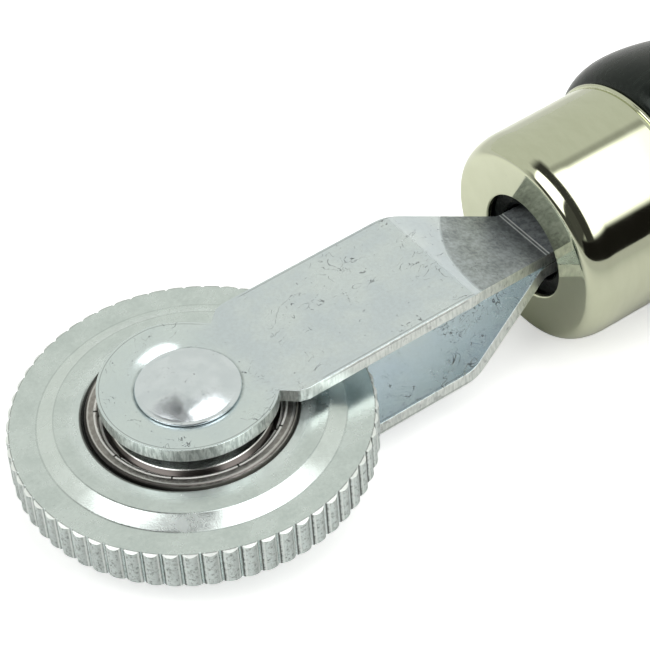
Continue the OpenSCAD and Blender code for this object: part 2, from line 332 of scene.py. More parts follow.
def dark_seam_side(g, place):
    """The side of the bearing's seam, towards -X, that is painted darker: dirt and painted shade."""
    return g.step(g.xyz(place)[0], -9.5 * MM, -4.5 * MM, 1.0, 0.0)


def bend_stain_and_shade(g, place, along, across, outer):
    """The darkened part of the bend, with a bowed edge, and how dark it is painted there: partly a
    mottled stain, partly a painted dark reflection and painted shade that deepens towards the ferrule.
    """
    mottle = g.step(g.noise(place, 0.45 * MM, 4, 0.7), 0.38, 0.62)
    off_centre = g.math("POWER", g.math("ADD", across, 6 * MM), 2.0)
    bowed = g.math("SUBTRACT", along, g.times(off_centre, STAIN_AND_SHADE_CURVE))
    area = g.times(outer, g.step(bowed, ARM_END + 0.9 * MM, ARM_END + 1.3 * MM))
    streaks = g.noise(g.scaled(place, (0.5, 1, 1)), 1.6 * MM, 4, 0.7)
    streaks = g.step(streaks, 0.38, 0.62, 0.0, 0.22)
    # painted shade: darker towards the ferrule
    deep = g.step(along, ARM_END + 6 * MM, FERRULE_FRONT, 0.38, 0.62)
    grains = g.math("ADD", g.times(mottle, 0.28), streaks)
    return area, g.times(area, g.math("ADD", deep, grains))


def edge_shade_lines(g, along, across, distance):
    """Painted shade: fine dark lines just inside the arm's sides and the boss's rim on its free side,
    standing in for the bevels' dark reflections.
    """
    arm = g.between(along, ARM_START, ARM_END, 1.0 * MM)
    inboard = g.math("SUBTRACT", ARM_HALF_W, g.math("ABSOLUTE", across))
    arm_line = g.times(g.between(inboard, 0.26 * MM, 0.32 * MM, 0.03 * MM), arm)
    boss_line = g.between(distance, BOSS_R - 0.32 * MM, BOSS_R - 0.26 * MM, 0.03 * MM)
    boss_line = g.times(boss_line, g.step(along, 5 * MM, 7 * MM, 1.0, 0.0))
    return g.most(arm_line, boss_line)


def rivet_foot_shade(g, place, distance):
    """Patchy painted shade round the foot of the rivet's head, standing in for the shadow in the crease
    under its rim.
    """
    foot = g.step(distance, RIVET_R + 0.02 * MM, RIVET_R + 0.40 * MM, 0.65, 0.0)
    patchy = g.step(g.noise(place, 1.8 * MM, 3, 0.6), 0.35, 0.65, 0.35, 1.0)
    return g.times(foot, patchy)


def sheet_marks(g, place, inner):
    """Pits and scratches, with more scratches on the inner face."""
    marks = g.times(g.step(g.noise(place, 0.7 * MM, 3, 0.65), 0.66, 0.72), 0.7)
    marks = g.most(marks, scribbles(g, place, 2.2 * MM, 0.008))
    marks = g.most(marks, scribbles(g, place, 4.1 * MM, 0.004))
    return g.most(marks, g.times(inner, scribbles(g, place, 1.5 * MM, 0.010)))


def crease_highlights(g, along, outer):
    """Two painted highlight lines across the outer face where the sheet is creased."""
    near_line = g.between(along, CREASE_X - 0.05 * MM, CREASE_X + 0.05 * MM, 0.05 * MM)
    far_line = g.between(along, CREASE_X + 0.35 * MM, CREASE_X + 0.45 * MM, 0.05 * MM)
    return g.times(g.most(near_line, far_line), outer)


def zinc_sheet():
    """Zinc-plated sheet: cloudy, finely grained and scratched, with a stain and painted shade at the
    bend, painted shade on the slope, the edges and the rivet's foot, and painted highlights on the
    crease.
    """
    material, g, shader, place = new_material("zinc_sheet")
    clouds = g.noise(place, 6 * MM, 5, 0.6)
    grain = g.noise(place, 0.14 * MM, 2, 0.6)
    fine = g.noise(place, 0.4 * MM, 3, 0.6)
    along, across, height = g.xyz(place)
    distance = axle_distance(g, place)
    facing = g.xyz(g.node("ShaderNodeTexCoord").outputs["Normal"])[2]
    outward = g.times(facing, height)
    inner = g.step(outward, -0.5 * MM, 0.0, 1.0, 0.0)
    outer = g.step(outward, 0.2 * MM, 0.8 * MM)
    boss = g.step(along, 2 * MM, 8 * MM, 0.5, 0.0)
    slope = g.times(outer, g.step(along, ARM_END - 0.1 * MM, ARM_END + 0.3 * MM))
    stain_and_shade_area, stain_and_shade = bend_stain_and_shade(g, place, along, across, outer)
    marks = sheet_marks(g, place, inner)
    crease = crease_highlights(g, along, outer)

    base = g.mix(g.step(clouds, 0.35, 0.65), rgb(0.72, 0.79, 0.84), rgb(0.79, 0.855, 0.87))
    base = g.mix(g.step(fine, 0.30, 0.70, 0.0, 0.16), base, rgb(0.50, 0.53, 0.54))
    base = g.mix(g.times(inner, 0.10), base, rgb(0.46, 0.54, 0.58))
    base = g.mix(boss, base, rgb(0.755, 0.845, 0.835))
    # painted shade: the sloping facet is painted darker, standing in for its reflection of dark
    # surroundings
    base = g.mix(g.times(slope, 0.16), base, rgb(0.30, 0.33, 0.33))
    # partly a mottled stain, partly painted shade and a painted dark reflection
    base = g.mix(stain_and_shade, base, rgb(0.20, 0.22, 0.23))
    # painted shade lines along the arm's and the boss's edges
    lines = g.times(edge_shade_lines(g, along, across, distance), 0.5)
    base = g.mix(lines, base, rgb(0.20, 0.21, 0.21))
    # painted shade round the rivet's foot
    base = g.mix(rivet_foot_shade(g, place, distance), base, rgb(0.20, 0.23, 0.22))
    base = g.mix(g.times(marks, 0.85), base, rgb(0.12, 0.13, 0.14))
    # painted highlights on the crease
    base = g.mix(g.times(crease, 0.9), base, rgb(0.80, 0.84, 0.82))
    matte = g.most(g.times(slope, 0.6), g.times(crease, 0.8))
    rough = g.math("ADD", g.step(clouds, 0.3, 0.7, 0.19, 0.28), g.times(stain_and_shade_area, 0.16))
    normal = g.bump(clouds, 0.05 * MM, 0.25, g.bump(grain, 0.009 * MM, 0.9))
    normal = g.bump(marks, -0.03 * MM, 0.8, normal)
    g.surface(shader, base, g.inverse(matte), rough, normal)
    return material


def sheared_edge():
    """The cut edge of the sheet: rough and streaky, with painted shade that makes it darker round the
    boss, and a painted dark reflection line below the top edge.
    """
    material, g, shader, place = new_material("sheared_edge")
    streaked = g.scaled(place, (1, 1, 0.22))
    streaks = g.noise(streaked, 0.30 * MM, 4, 0.65)
    blotches = g.noise(place, 0.9 * MM, 5, 0.7)
    # painted shade: the cut edge is painted darker round the boss, where it faces the shaded hub
    boss = g.step(axle_distance(g, place), BOSS_R + 1.7 * MM, BOSS_R + 2.2 * MM, 1.0, 0.0)
    light = g.mix(g.step(streaks, 0.3, 0.7), rgb(0.62, 0.66, 0.63), rgb(0.88, 0.91, 0.88))
    dark = g.mix(g.step(streaks, 0.35, 0.65), rgb(0.40, 0.44, 0.42), rgb(0.76, 0.80, 0.77))
    base = g.mix(boss, light, dark)
    specks = g.step(blotches, 0.55, 0.68)
    along, _, height = g.xyz(place)
    below = g.math("SUBTRACT", CHEEK_OUT_Z + ARM_RISE, g.math("ABSOLUTE", height))
    straight = g.between(along, ARM_START, ARM_END - 1.5 * MM, 1.0 * MM)
    # painted reflection: a dark line just below the top edge, standing in for the bevel's dark
    # reflection
    line = g.times(g.between(below, 0.26 * MM, 0.34 * MM, 0.03 * MM), straight)
    marks = g.most(g.times(specks, 0.45), g.times(line, 0.7))
    base = g.mix(marks, base, rgb(0.22, 0.23, 0.23))
    normal = g.bump(streaks, 0.05 * MM, 0.7, g.bump(blotches, 0.04 * MM, 0.6))
    g.surface(shader, base, 0.85, 0.36, normal)
    return material


def bore_dirt_and_shade(g, place, distance):
    """Dirt and painted shade in the seam round the bearing, in a wider band on its darker side."""
    seam = g.step(distance, BEARING_R + 0.28 * MM, BEARING_R + 0.40 * MM, 1.0, 0.0)
    wide_seam = g.step(distance, BEARING_R + 0.45 * MM, BEARING_R + 0.60 * MM, 1.0, 0.0)
    return g.most(seam, g.times(wide_seam, dark_seam_side(g, place)))


def bevel_lines(g, distance):
    """Fine turned lines at both edges of the hub's bevel."""
    hub_edge = g.between(distance, HUB_R - 0.06 * MM, HUB_R + 0.04 * MM, 0.06 * MM)
    rim_edge = g.between(distance, BEVEL_R - 0.04 * MM, BEVEL_R + 0.08 * MM, 0.06 * MM)
    return g.most(hub_edge, rim_edge)


def turned_zinc():
    """The wheel: satin plating, pocked lobes, chamfers painted bright (burnish and painted highlight),
    valleys with painted shade and painted highlight flanks, lobes painted darker on one side, and dirt
    with painted shade in the bore's seam.
    """
    material, g, shader, place = new_material("turned_zinc")
    distance = axle_distance(g, place)
    rings = ring_noise(g, distance, 0.25 * MM)
    clouds = g.noise(place, 4 * MM, 5, 0.65)
    fine = g.noise(place, 0.45 * MM, 4, 0.65)
    grain = g.noise(place, 0.18 * MM, 2, 0.6)
    side = g.times(sector_place(g, place, LOBES, LOBE_PHASE), 2.0)
    uneven = g.times(g.math("SUBTRACT", fine, 0.5), 0.16)
    off_crest = g.math("ADD", g.math("ABSOLUTE", side), uneven)
    toothed = g.step(distance, CHAMFER_R - 0.05 * MM, CHAMFER_R + 0.05 * MM)
    facing = g.xyz(g.node("ShaderNodeTexCoord").outputs["Normal"])[2]
    # burnished chamfers, also a painted highlight: painted bright all round
    burnish_and_highlight = g.times(toothed, g.step(g.math("ABSOLUTE", facing), 0.45, 0.65))
    # painted shade in the valleys between lobes, plus dirt and painted shade in the bore's seam
    dirt_and_shade = g.most(g.times(toothed, g.step(off_crest, 0.80, 0.88)), bore_dirt_and_shade(g, place, distance))
    # painted highlight on the lobes' flanks beside each valley
    flank_highlight = g.times(toothed, g.between(off_crest, 0.62, 0.72, 0.06))
    # painted shade: each lobe is painted darker on one side
    shaded = g.times(toothed, g.step(side, -0.5, 0.9, 0.0, 0.5))
    pocks = g.times(toothed, g.step(g.noise(place, 0.32 * MM, 4, 0.7), 0.54, 0.62))
    specks = g.most(g.step(fine, 0.68, 0.75), g.times(toothed, g.step(fine, 0.50, 0.68)))
    bevel = g.between(distance, HUB_R + 0.1 * MM, BEVEL_R - 0.1 * MM, 0.1 * MM)
    lip = g.between(distance, CHAMFER_R - 0.04 * MM, CHAMFER_R + 0.04 * MM, 0.03 * MM)

    base = g.mix(g.step(clouds, 0.35, 0.65), rgb(0.68, 0.75, 0.74), rgb(0.77, 0.84, 0.83))
    base = g.mix(g.step(fine, 0.35, 0.65, 0.0, 0.14), base, rgb(0.45, 0.50, 0.49))
    base = g.mix(g.times(bevel, 0.35), base, rgb(0.88, 0.94, 0.92))
    base = g.mix(g.times(bevel_lines(g, distance), 0.22), base, rgb(0.30, 0.34, 0.33))
    base = g.mix(g.times(toothed, 0.25), base, rgb(0.50, 0.53, 0.505))
    base = g.mix(shaded, base, rgb(0.22, 0.24, 0.23))
    base = g.mix(g.times(specks, 0.5), base, rgb(0.26, 0.28, 0.26))
    base = g.mix(g.times(pocks, 0.65), base, rgb(0.12, 0.14, 0.13))
    base = g.mix(g.times(burnish_and_highlight, 0.8), base, rgb(0.95, 0.98, 0.96))
    base = g.mix(g.times(lip, 0.6), base, rgb(0.16, 0.18, 0.17))
    base = g.mix(g.times(flank_highlight, 0.8), base, rgb(0.86, 0.90, 0.88))
    base = g.mix(g.times(dirt_and_shade, 0.9), base, rgb(0.05, 0.05, 0.045))
    dulled = g.step(distance, BEARING_R + 1.0 * MM, BEARING_R + 2.2 * MM, 0.3, 0.0)
    dulled = g.most(dulled, g.times(burnish_and_highlight, 0.5))
    rough = g.math("ADD", g.step(clouds, 0.3, 0.7, 0.20, 0.30), g.times(flank_highlight, 0.25))
    rough = g.math("ADD", rough, g.times(toothed, 0.10))
    normal = g.bump(rings, 0.002 * MM, 0.5, g.bump(grain, 0.006 * MM, 0.8))
    normal = g.bump(specks, -0.01 * MM, 0.4, normal)
    g.surface(shader, base, g.inverse(dulled), rough, normal)
    return material


def rivet_zinc():
    """The rivet: the same plating over a hammered, slightly dented dome."""
    material, g, shader, place = new_material("rivet_zinc")
    dents = g.noise(place, 2.4 * MM, 2, 0.5)
    grain = g.noise(place, 0.3 * MM, 3, 0.6)
    specks = g.step(g.noise(place, 0.6 * MM, 3, 0.6), 0.68, 0.76)
    specks = g.most(specks, scribbles(g, place, 1.3 * MM, 0.008))
    base = g.mix(g.step(dents, 0.35, 0.65), rgb(0.72, 0.775, 0.815), rgb(0.79, 0.84, 0.88))
    base = g.mix(g.times(specks, 0.6), base, rgb(0.25, 0.24, 0.25))
    rough = g.step(dents, 0.3, 0.7, 0.16, 0.25)
    normal = g.bump(grain, 0.0012 * MM, 0.6, g.bump(dents, 0.14 * MM, 0.45))
    g.surface(shader, base, 0.88, rough, normal)
    return material


def ground_steel(name, tint, rough, ring_size):
    """Bare steel, finely ground in rings about the axle."""
    material, g, shader, place = new_material(name)
    rings = ring_noise(g, axle_distance(g, place), ring_size)
    clouds = g.noise(place, 2.5 * MM, 4, 0.6)
    dark = rgb(*(0.78 * c for c in tint))
    base = g.mix(g.step(clouds, 0.3, 0.7), dark, rgb(*tint))
    ground = g.step(rings, 0.2, 0.8, rough, rough + 0.12)
    g.surface(shader, base, 1.0, ground, g.bump(rings, 0.004 * MM, 0.6))
    return material


def crimp_marks(g, place):
    """Dark slits where the shield is crimped into the outer ring."""
    off = g.math("ABSOLUTE", sector_place(g, place, CRIMPS, CRIMP_PHASE))
    return g.step(off, 0.012, 0.018, 1.0, 0.0)


def race_steel():
    """The bearing's rings: oiled dark steel, painted highlights on the edges and the rolled edge, crimp
    slits, and dirt with painted shade in the seams.
    """
    material, g, shader, place = new_material("race_steel")
    distance = axle_distance(g, place)
    fine = g.noise(place, 0.5 * MM, 4, 0.65)
    ragged = g.math("ADD", distance, g.times(g.math("SUBTRACT", fine, 0.5), 0.10 * MM))
    rings = ring_noise(g, distance, 0.2 * MM)
    dirt_and_shade = rgb(0.03, 0.028, 0.026)
    edge = BEARING_R - 0.4 * MM
    seam = g.between(ragged, edge + 0.20 * MM, edge + 0.28 * MM, 0.04 * MM)
    # painted highlight on the edge of the ring's face
    edge_highlight = g.between(ragged, edge - 0.05 * MM, edge + 0.06 * MM, 0.05 * MM)
    base = g.mix(g.step(fine, 0.35, 0.7), rgb(0.30, 0.28, 0.265), rgb(0.45, 0.43, 0.41))
    base = g.mix(g.times(edge_highlight, 0.6), base, rgb(0.80, 0.80, 0.78))
    # painted highlight on the outer rounded corner
    rim = g.step(distance, BEARING_R - 0.08 * MM, BEARING_R - 0.03 * MM)
    base = g.mix(rim, base, rgb(0.62, 0.60, 0.57))
    # dirt and painted shade in the outer seam, wider on one side
    seam_grime_and_shade = g.step(ragged, BEARING_R - 0.36 * MM, BEARING_R - 0.26 * MM)
    seam_grime_and_shade = g.times(seam_grime_and_shade, dark_seam_side(g, place), 0.9)
    base = g.mix(seam_grime_and_shade, base, dirt_and_shade)
    # painted highlight on the rolled edge
    rolled = g.between(ragged, BEARING_R - 1.20 * MM, BEARING_R - 1.04 * MM, 0.05 * MM)
    base = g.mix(rolled, base, rgb(0.93, 0.92, 0.89))
    edge_only = g.step(distance, BEARING_R - 1.02 * MM, BEARING_R - 0.96 * MM, 1.0, 0.0)
    slits = g.times(crimp_marks(g, place), edge_only)
    base = g.mix(slits, base, dirt_and_shade)
    # dirt and painted shade: a dark line in the seam near the outer edge
    base = g.mix(g.times(seam, 0.75), base, rgb(0.04, 0.038, 0.035))
    rough = g.step(fine, 0.3, 0.7, 0.32, 0.44)
    normal = g.bump(rings, 0.004 * MM, 0.6, g.bump(fine, 0.01 * MM, 0.6))
    g.surface(shader, base, g.inverse(g.times(rolled, 0.75)), rough, normal)
    return material


def shield_steel():
    """The pressed shield: bright flat, painted shade on the step and recess, a painted highlight on the
    shoulder, and a crimped lip with a painted highlight.
    """
    material, g, shader, place = new_material("shield_steel")
    distance = axle_distance(g, place)
    fine = g.noise(place, 0.6 * MM, 4, 0.6)
    rings = ring_noise(g, distance, 0.5 * MM)
    shoulder_highlight = g.between(distance, SHIELD_FLAT_R + 0.01 * MM, SHIELD_FLAT_R + 0.19 * MM, 0.05 * MM)
    recess = g.between(distance, SHIELD_FLAT_R + 0.25 * MM, SHIELD_SEAT_R + 0.19 * MM, 0.05 * MM)
    lip = g.between(distance, LIP_R - 0.16 * MM, LIP_R + 0.16 * MM, 0.02 * MM)
    seat = g.step(distance, SHIELD_SEAT_R + 0.17 * MM, SHIELD_SEAT_R + 0.21 * MM)
    crimp = g.times(crimp_marks(g, place), seat)
    base = g.mix(g.step(fine, 0.3, 0.7), rgb(0.50, 0.49, 0.47), rgb(0.66, 0.65, 0.63))
    # painted shade in the conical step and recess
    base = g.mix(recess, base, rgb(0.10, 0.09, 0.085))
    # painted highlight on the rounded shoulder
    base = g.mix(shoulder_highlight, base, rgb(0.72, 0.72, 0.70))
    # painted highlight on the lip
    base = g.mix(lip, base, rgb(0.86, 0.85, 0.82))
    base = g.mix(crimp, base, rgb(0.02, 0.018, 0.016))
    rough = g.math("ADD", g.step(rings, 0.2, 0.8, 0.16, 0.26), g.times(lip, 0.12))
    g.surface(shader, base, g.inverse(g.times(lip, 0.8)), rough, g.bump(rings, 0.004 * MM, 0.6))
    return material


def nickel_plate():
    """The ferrule: bright warm nickel with faint wipe marks outside; inside, painted dull and near
    black as painted shade.
    """
    material, g, shader, place = new_material("nickel_plate")
    waves = g.noise(place, 9 * MM, 2, 0.4)
    wipes = g.noise(g.scaled(place, (3, 1, 1)), 4 * MM, 5, 0.6)
    specks = g.step(g.noise(place, 0.8 * MM, 3, 0.6), 0.72, 0.78)
    along, across, height = g.xyz(place)
    deep = g.step(along, FERRULE_FRONT + 0.3 * MM, FERRULE_FRONT + 0.6 * MM)
    bend_r = FERRULE_R - EDGE_IN
    radius = radius_of(g, across, height)
    inside = g.times(deep, g.step(radius, bend_r, bend_r + 0.3 * MM, 1.0, 0.0))
    base = g.mix(g.step(wipes, 0.3, 0.7), rgb(0.60, 0.62, 0.46), rgb(0.63, 0.65, 0.49))
    base = g.mix(g.times(specks, 0.5), base, rgb(0.3, 0.28, 0.22))
    # painted shade: the inside of the cup is painted near black
    base = g.mix(inside, base, grey(0.01))
    rough = g.math("ADD", g.step(wipes, 0.3, 0.75, 0.06, 0.085), g.times(inside, 0.4))
    g.surface(shader, base, 1.0, rough, g.bump(waves, 0.08 * MM, 0.15))
    return material


def black_lacquer():
    """The handle: black lacquer over turned wood, its grain and tool rings just showing."""
    material, g, shader, place = new_material("black_lacquer")
    along = g.scaled(place, (0.12, 1, 1))
    grain = g.noise(along, 0.9 * MM, 5, 0.6)
    orange_peel = g.noise(place, 1.1 * MM, 2, 0.5)
    dust = g.step(g.noise(place, 0.35 * MM, 2, 0.5), 0.74, 0.8)
    hidden = g.step(g.xyz(place)[0], FERRULE_BACK - 1.0 * MM, FERRULE_BACK, 1.0, 0.0)
    base = g.mix(g.step(grain, 0.4, 0.7), rgb(0.004, 0.0055, 0.005), rgb(0.010, 0.013, 0.011))
    base = g.mix(g.times(dust, 0.4), base, rgb(0.08, 0.085, 0.08))
    rough = g.step(grain, 0.3, 0.7, 0.20, 0.30)
    normal = g.bump(orange_peel, 0.02 * MM, 0.25, g.bump(grain, 0.02 * MM, 0.35))
    g.surface(shader, base, 0.0, rough, normal)
    g.feed(shader.inputs["IOR"], 1.5)
    g.feed(shader.inputs["Specular IOR Level"], g.step(hidden, 0.0, 1.0, 0.32, 0.03))
    g.feed(shader.inputs["Specular Tint"], rgb(0.90, 1.0, 0.94))
    return material


# Wheel and bearing -----------------------------------------------------------------------

LOBES = 60
LOBE_STEPS = 12
LOBE_PHASE = math.radians(1.8)
LOBE_R = 1.15 * MM
CHAMFER_R = WHEEL_R - 0.35 * MM
CHAMFER_SLOPE = 0.55
RIM_Z = 2.3 * MM
HUB_R = 14.2 * MM
BEVEL_R = 16.0 * MM
TRACK_R = 7.5 * MM
GROOVE_R = 2.0 * MM


def lobe_outline(angle):
    """Radius of the scalloped rim at an angle: convex lobes that meet in sharp valleys."""
    pitch = TURN / LOBES
    off = (angle - LOBE_PHASE + pitch / 2) % pitch - pitch / 2
    centre = WHEEL_R - LOBE_R
    return centre * math.cos(off) + math.sqrt(LOBE_R ** 2 - (centre * math.sin(off)) ** 2)


def rim_shape(radius, height, angle):
    """Moves the rim's rings onto the lobes and cuts the chamfer across their ends."""
    edge = lobe_outline(angle + TURN / LOBES / LOBE_STEPS / 2)
    if radius < CHAMFER_R - 1e-6:
        return radius, height
    if radius < WHEEL_R - 1e-6:
        return min(radius, edge), height
    drop = CHAMFER_SLOPE * max(0.0, edge - CHAMFER_R)
    return edge, math.copysign(abs(height) - drop, height)


def build_wheel(material):
    mouth = 0.35 * MM
    side = [
        (BEARING_R, 0.0), (BEARING_R, HUB_Z - mouth), (BEARING_R + mouth, HUB_Z),
        (HUB_R - 0.1 * MM, HUB_Z), (HUB_R, HUB_Z - 0.01 * MM), (HUB_R + 0.1 * MM, HUB_Z - 0.06 * MM),
        (BEVEL_R - 0.1 * MM, RIM_Z + 0.05 * MM), (BEVEL_R, RIM_Z + 0.01 * MM),
        (BEVEL_R + 0.1 * MM, RIM_Z), (CHAMFER_R - 0.3 * MM, RIM_Z), (CHAMFER_R, RIM_Z),
        (WHEEL_R, RIM_Z),
    ]
    outline = side + [(r, -z) for r, z in reversed(side[1:])]
    steps = LOBES * LOBE_STEPS
    wheel = lathe("roller_wheel_looks", outline, steps=steps, shape=rim_shape, sharp_degrees=24)
    weighted_normals(wheel)
    return finish_piece(wheel, [material], "wheel", "roller_wheel")


def ball_track(land, side):
    """The ball groove's arc between a ring's lands. side is 1 outside the balls, -1 inside."""
    reach = math.acos(abs(land - TRACK_R) / GROOVE_R)
    angles = (reach * k / 8 for k in range(-8, 9))
    return [Vector((TRACK_R + side * GROOVE_R * math.cos(a), GROOVE_R * math.sin(a))) for a in angles]


def build_outer_ring(material):
    land, land_z = 8.8 * MM, 2.35 * MM
    recess, seat_z = 9.6 * MM, 2.75 * MM
    soft, round_r = 0.08 * MM, 0.4 * MM
    half = [
        (land, land_z, soft), (recess, land_z, 0), (recess, seat_z, 0), (recess, BEARING_Z, soft),
        (BEARING_R, BEARING_Z, round_r),
    ]
    upper = fillet(half + [(BEARING_R, 0, 0), (land, 0, 0)])[:-2]
    lower = [Vector((p.x, -p.y)) for p in reversed(upper)]
    ring = lathe("bearing_outer_ring_looks", upper + lower + ball_track(land, 1))
    weighted_normals(ring)
    return finish_piece(ring, [material], "wheel", "bearing_outer_ring")


def build_inner_ring(material):
    bore = BUSH_R + 0.02 * MM
    land_round, bore_round = 0.15 * MM, 0.4 * MM
    upper = fillet([
        (INNER_RING_R, 0, 0), (INNER_RING_R, BEARING_Z, land_round),
        (bore, BEARING_Z, bore_round), (bore, 0, 0),
    ])[1:-1]
    lower = [Vector((p.x, -p.y)) for p in reversed(upper)]
    outline = ball_track(INNER_RING_R, -1) + upper + lower
    ring = lathe("bearing_inner_ring_looks", outline, steps=128)
    weighted_normals(ring)
    return finish_piece(ring, [material], "fork", "bearing_inner_ring")


CRIMPS = 9
CRIMP_PHASE = math.radians(25.2)
LIP_R = 9.35 * MM
SHIELD_BORE_R = 6.35 * MM
SHIELD_FLAT_R = 8.35 * MM
SHIELD_SEAT_R = 8.95 * MM


def crimped(radius, height, angle):
    """Lowers the shield's lip at each crimp."""
    crimp_depth, crimp_half_w = 0.28 * MM, 0.2 * MM
    pitch = TURN / CRIMPS
    off = abs((angle - CRIMP_PHASE + pitch / 2) % pitch - pitch / 2) * LIP_R
    on_lip = height >= SHIELD_LOW + 0.45 * MM and radius >= 9.1 * MM
    return radius, height - (crimp_depth if on_lip and off < crimp_half_w else 0.0)


def build_shield(material):
    """A pressed shield: flat ring, conical step, seat, and a crimped lip."""
    sheet = 0.3 * MM
    top, low = SHIELD_TOP, SHIELD_LOW
    soft, crisp = 0.07 * MM, 0.02 * MM
    bend_shift = 0.13 * MM
    lip_in, lip_out = LIP_R - sheet / 2, LIP_R + sheet / 2
    seat_top, lip_top = low + sheet, low + 2.2 * sheet
    outline = fillet([
        (SHIELD_BORE_R, top - sheet, crisp), (SHIELD_FLAT_R, top - sheet, soft),
        (SHIELD_SEAT_R, low, soft), (SHIELD_R, low, 1.5 * crisp), (SHIELD_R, seat_top, 1.5 * crisp),
        (lip_out, seat_top, crisp), (lip_out, lip_top, 2 * soft),
        (lip_in, lip_top, 2 * soft), (lip_in, seat_top, crisp),
        (SHIELD_SEAT_R + bend_shift, seat_top, soft), (SHIELD_FLAT_R + bend_shift, top, soft),
        (SHIELD_BORE_R, top, soft),
    ], steps=4)
    upper = lathe("shield_upper_looks", outline, steps=360, shape=crimped)
    lower = mirrored("shield_lower_looks", upper)
    finish_piece(upper, [material], "wheel", "shield_upper")
    finish_piece(lower, [material], "wheel", "shield_lower")


# Axle ------------------------------------------------------------------------------------

def tube(name, outer, inner, low, high, material, node):
    """A plain ring of the axle, its outer edges rounded more than the inner ones."""
    soft = 0.12 * MM
    outline = fillet([
        (outer, low, soft), (outer, high, soft), (inner, high, soft / 2), (inner, low, soft / 2),
    ])
    piece = lathe(name, outline, steps=128)
    weighted_normals(piece)
    return finish_piece(piece, [material], "fork", node)


def dome(radius, base, height):
    """Points of a low dome from its edge to its top: radius wide, height high, on base."""
    steps = 14
    ball = (radius ** 2 + height ** 2) / (2 * height)
    edge = math.asin(radius / ball)
    angles = (edge * (1 - k / steps) for k in range(steps + 1))
    return [Vector((ball * math.sin(a), base + height - ball * (1 - math.cos(a)))) for a in angles]


def build_rivet(material):
    """The rivet: a domed head and a formed tail, each with an undercut, rounded rim."""
    shank = 3.0 * MM
    seat, gap = CHEEK_OUT_Z, 0.01 * MM
    edge = 0.34 * MM
    step_in = 0.20 * MM
    tail_r = RIVET_R - 0.3 * MM
    crease = seat + edge - 0.03 * MM
    head = dome(RIVET_R - step_in, crease, RIVET_TOP - crease)
    tail = dome(tail_r - step_in, -crease, RIVET_LOW + crease)
    undercut, overhang = 0.30 * MM, 0.10 * MM
    rim = [
        Vector((RIVET_R - undercut, seat + gap)),
        Vector((RIVET_R - overhang, seat + 0.06 * MM)),
        Vector((RIVET_R - 0.02 * MM, seat + 0.13 * MM)),
        Vector((RIVET_R, seat + edge / 2)),
        Vector((RIVET_R - 0.02 * MM, seat + edge - 0.07 * MM)),
        Vector((RIVET_R - 0.09 * MM, seat + edge)),
    ]
    tail_rim = [Vector((p.x - RIVET_R + tail_r, -p.y)) for p in rim]
    outline = [Vector((shank, 0)), Vector((shank, seat + gap))] + rim + head
    outline += list(reversed(tail_rim + tail)) + [Vector((shank, -seat - gap))]
    rivet = lathe("axle_rivet_looks", outline, sharp_degrees=50)
    weighted_normals(rivet)
    return finish_piece(rivet, [material], "fork", "axle_rivet")


# Fork ------------------------------------------------------------------------------------

SHEET = 1.6 * MM
CHEEK_OUT_Z = CHEEK_IN_Z + SHEET
DISH_H = CHEEK_TOP - CHEEK_OUT_Z
DISH_R = RIVET_R - 0.15 * MM
RIVET_HOLE_R = 3.05 * MM
ARM_RISE = 0.1 * MM
ARM_HALF_W = 7.85 * MM
TANG_HALF_W = 4.1 * MM
NECK_HALF_W = 6.2 * MM
ARM_END = 30.8 * MM
STAIN_AND_SHADE_CURVE = 34.0
TANG_START = FERRULE_FRONT - 0.15 * MM
TANG_TOP = SHEET + 0.04 * MM
CREASE_X = FERRULE_FRONT + 0.1 * MM
CREASE_H = 0.08 * MM
CREASE_SOFT = 0.16 * MM
ARM_START = 12.0 * MM
CORNER_SOFT = 1.0 * MM
BARBS = 4
BARB_PITCH = 6.0 * MM
BARB_DEPTH = 0.8 * MM
TIP_LENGTH = 3 * MM
ACROSS = 48
EDGE_DEGREES = 32


def soft_ramp(x, start, end, soft_start, soft_end):
    """0 before start, 1 after end, straight between, with its two corners rounded."""
    def soft_plus(value, soft):
        return value if value > soft else 0.0 if value < -soft else (value + soft) ** 2 / (4 * soft)
    return (soft_plus(x - start, soft_start) - soft_plus(x - end, soft_end)) / (end - start)


def dish_profile(u):
    """Share of the dish's rise at u: a steady steep slope by the rivet, then easing to level."""
    steep, easing = 0.16, 3.5
    if u < steep:
        rise = u
    else:
        rise = steep + (1 - steep) / easing * (1 - ((1 - u) / (1 - steep)) ** easing)
    return rise / (steep + (1 - steep) / easing)


def cheek_height(x, y):
    """Height of the cheek's outer face above the middle of the tool."""
    radius = math.hypot(x, y)
    u = min(max((radius - DISH_R) / (BOSS_R - DISH_R), 0.0), 1.0)
    toward_arm = min(max((x / max(radius, 1e-9) - 0.1) / 0.6, 0.0), 1.0)
    toward_arm = toward_arm * toward_arm * (3 - 2 * toward_arm)
    rise = DISH_H + (ARM_RISE - DISH_H) * toward_arm
    height = CHEEK_OUT_Z + rise * dish_profile(u)
    height += CREASE_H * math.exp(-((x - CREASE_X) / CREASE_SOFT) ** 2)
    drop = height - TANG_TOP
    return height - drop * soft_ramp(x, ARM_END, TANG_START, 1.9 * MM, 0.5 * MM)


def arm_half_width(x):
    """Half width of the arm, the taper and the barbed tang."""
    narrow = soft_ramp(x, ARM_END, TANG_START, CORNER_SOFT, 0.4 * MM)
    width = ARM_HALF_W + (TANG_HALF_W - ARM_HALF_W) * narrow
    last_barb = TANG_END - TIP_LENGTH - 1 * MM
    first_barb = last_barb - BARBS * BARB_PITCH
    along = (x - first_barb) / BARB_PITCH
    if 0 <= along < BARBS:
        width -= BARB_DEPTH * max(0.0, 1 - (along % 1) / 0.8)
    tip = x - (TANG_END - TIP_LENGTH)
    return width - max(0.0, tip) * 2 / 3


